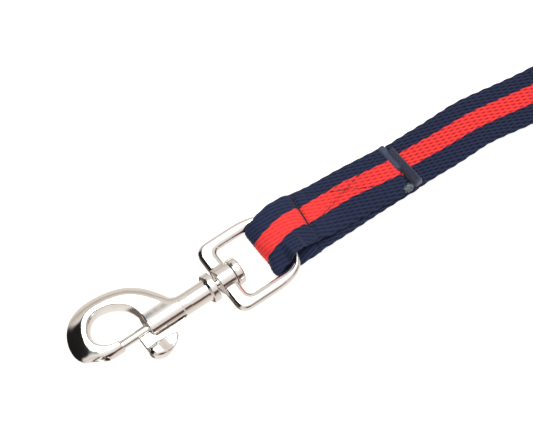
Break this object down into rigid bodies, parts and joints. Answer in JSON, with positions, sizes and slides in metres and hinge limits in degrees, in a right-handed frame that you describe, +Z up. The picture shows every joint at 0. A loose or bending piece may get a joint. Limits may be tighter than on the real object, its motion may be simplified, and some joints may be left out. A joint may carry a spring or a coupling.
{
  "type": "lead rope",
  "caption": "Flat two-colour cushion-webbing horse lead, folded and sewn round the swivel eye of a spring-gated bolt snap, its spare length wound in a round coil.",
  "frame": {"origin": "under the middle of the sewn end, on the surface that the lead lies on", "axes": "+X along the lead from the hook towards the webbing, +Z up from the surface"},
  "size_m": [0.4137, 0.212, 0.0252],
  "materials": {
    "nickel_plate": "bright nickel plate over a cast body",
    "spring_steel": "drawn spring wire",
    "webbing": "soft woven cushion webbing, navy with a red middle stripe",
    "thread": "dark sewing thread",
    "sealed_end": "melted webbing end"
  },
  "bodies": {
    "lead": {"webbing_loop": "webbing", "lap_upper": "webbing", "lap_lower": "webbing", "lead_run": "webbing", "lead_coil": "webbing", "hem_tail": "webbing", "loop_seam": "thread", "cross_seam": "thread", "end_bar_tack": "thread", "lap_end_seal": "sealed_end", "hem_seam": "thread"},
    "eye": {"swivel_eye": "nickel_plate"},
    "snap": {"snap_body": "nickel_plate", "swivel_rivet": "nickel_plate", "bolt_spring": "spring_steel"},
    "bolt": {"slide_bolt": "nickel_plate", "thumb_stud": "nickel_plate"}
  },
  "joints": [
    {"name": "eye_tilt", "type": "hinge", "parent": "lead", "child": "eye", "pos_m": [0.0195, -0.00335, 0.0067], "axis": [0, 1, 0], "range_deg": [-75, 75], "deforming": ["webbing_loop"]},
    {"name": "swivel", "type": "hinge", "parent": "eye", "child": "snap", "pos_m": [-0.0117, -0.00335, 0.0067], "axis": [1, 0, 0], "continuous": true},
    {"name": "bolt_slide", "type": "slide", "parent": "snap", "child": "bolt", "axis": [1, 0, 0], "range_m": [0, 0.0155], "stiffness_N_per_m": 500, "springref_m": -0.005, "deforming": ["bolt_spring"]}
  ]
}
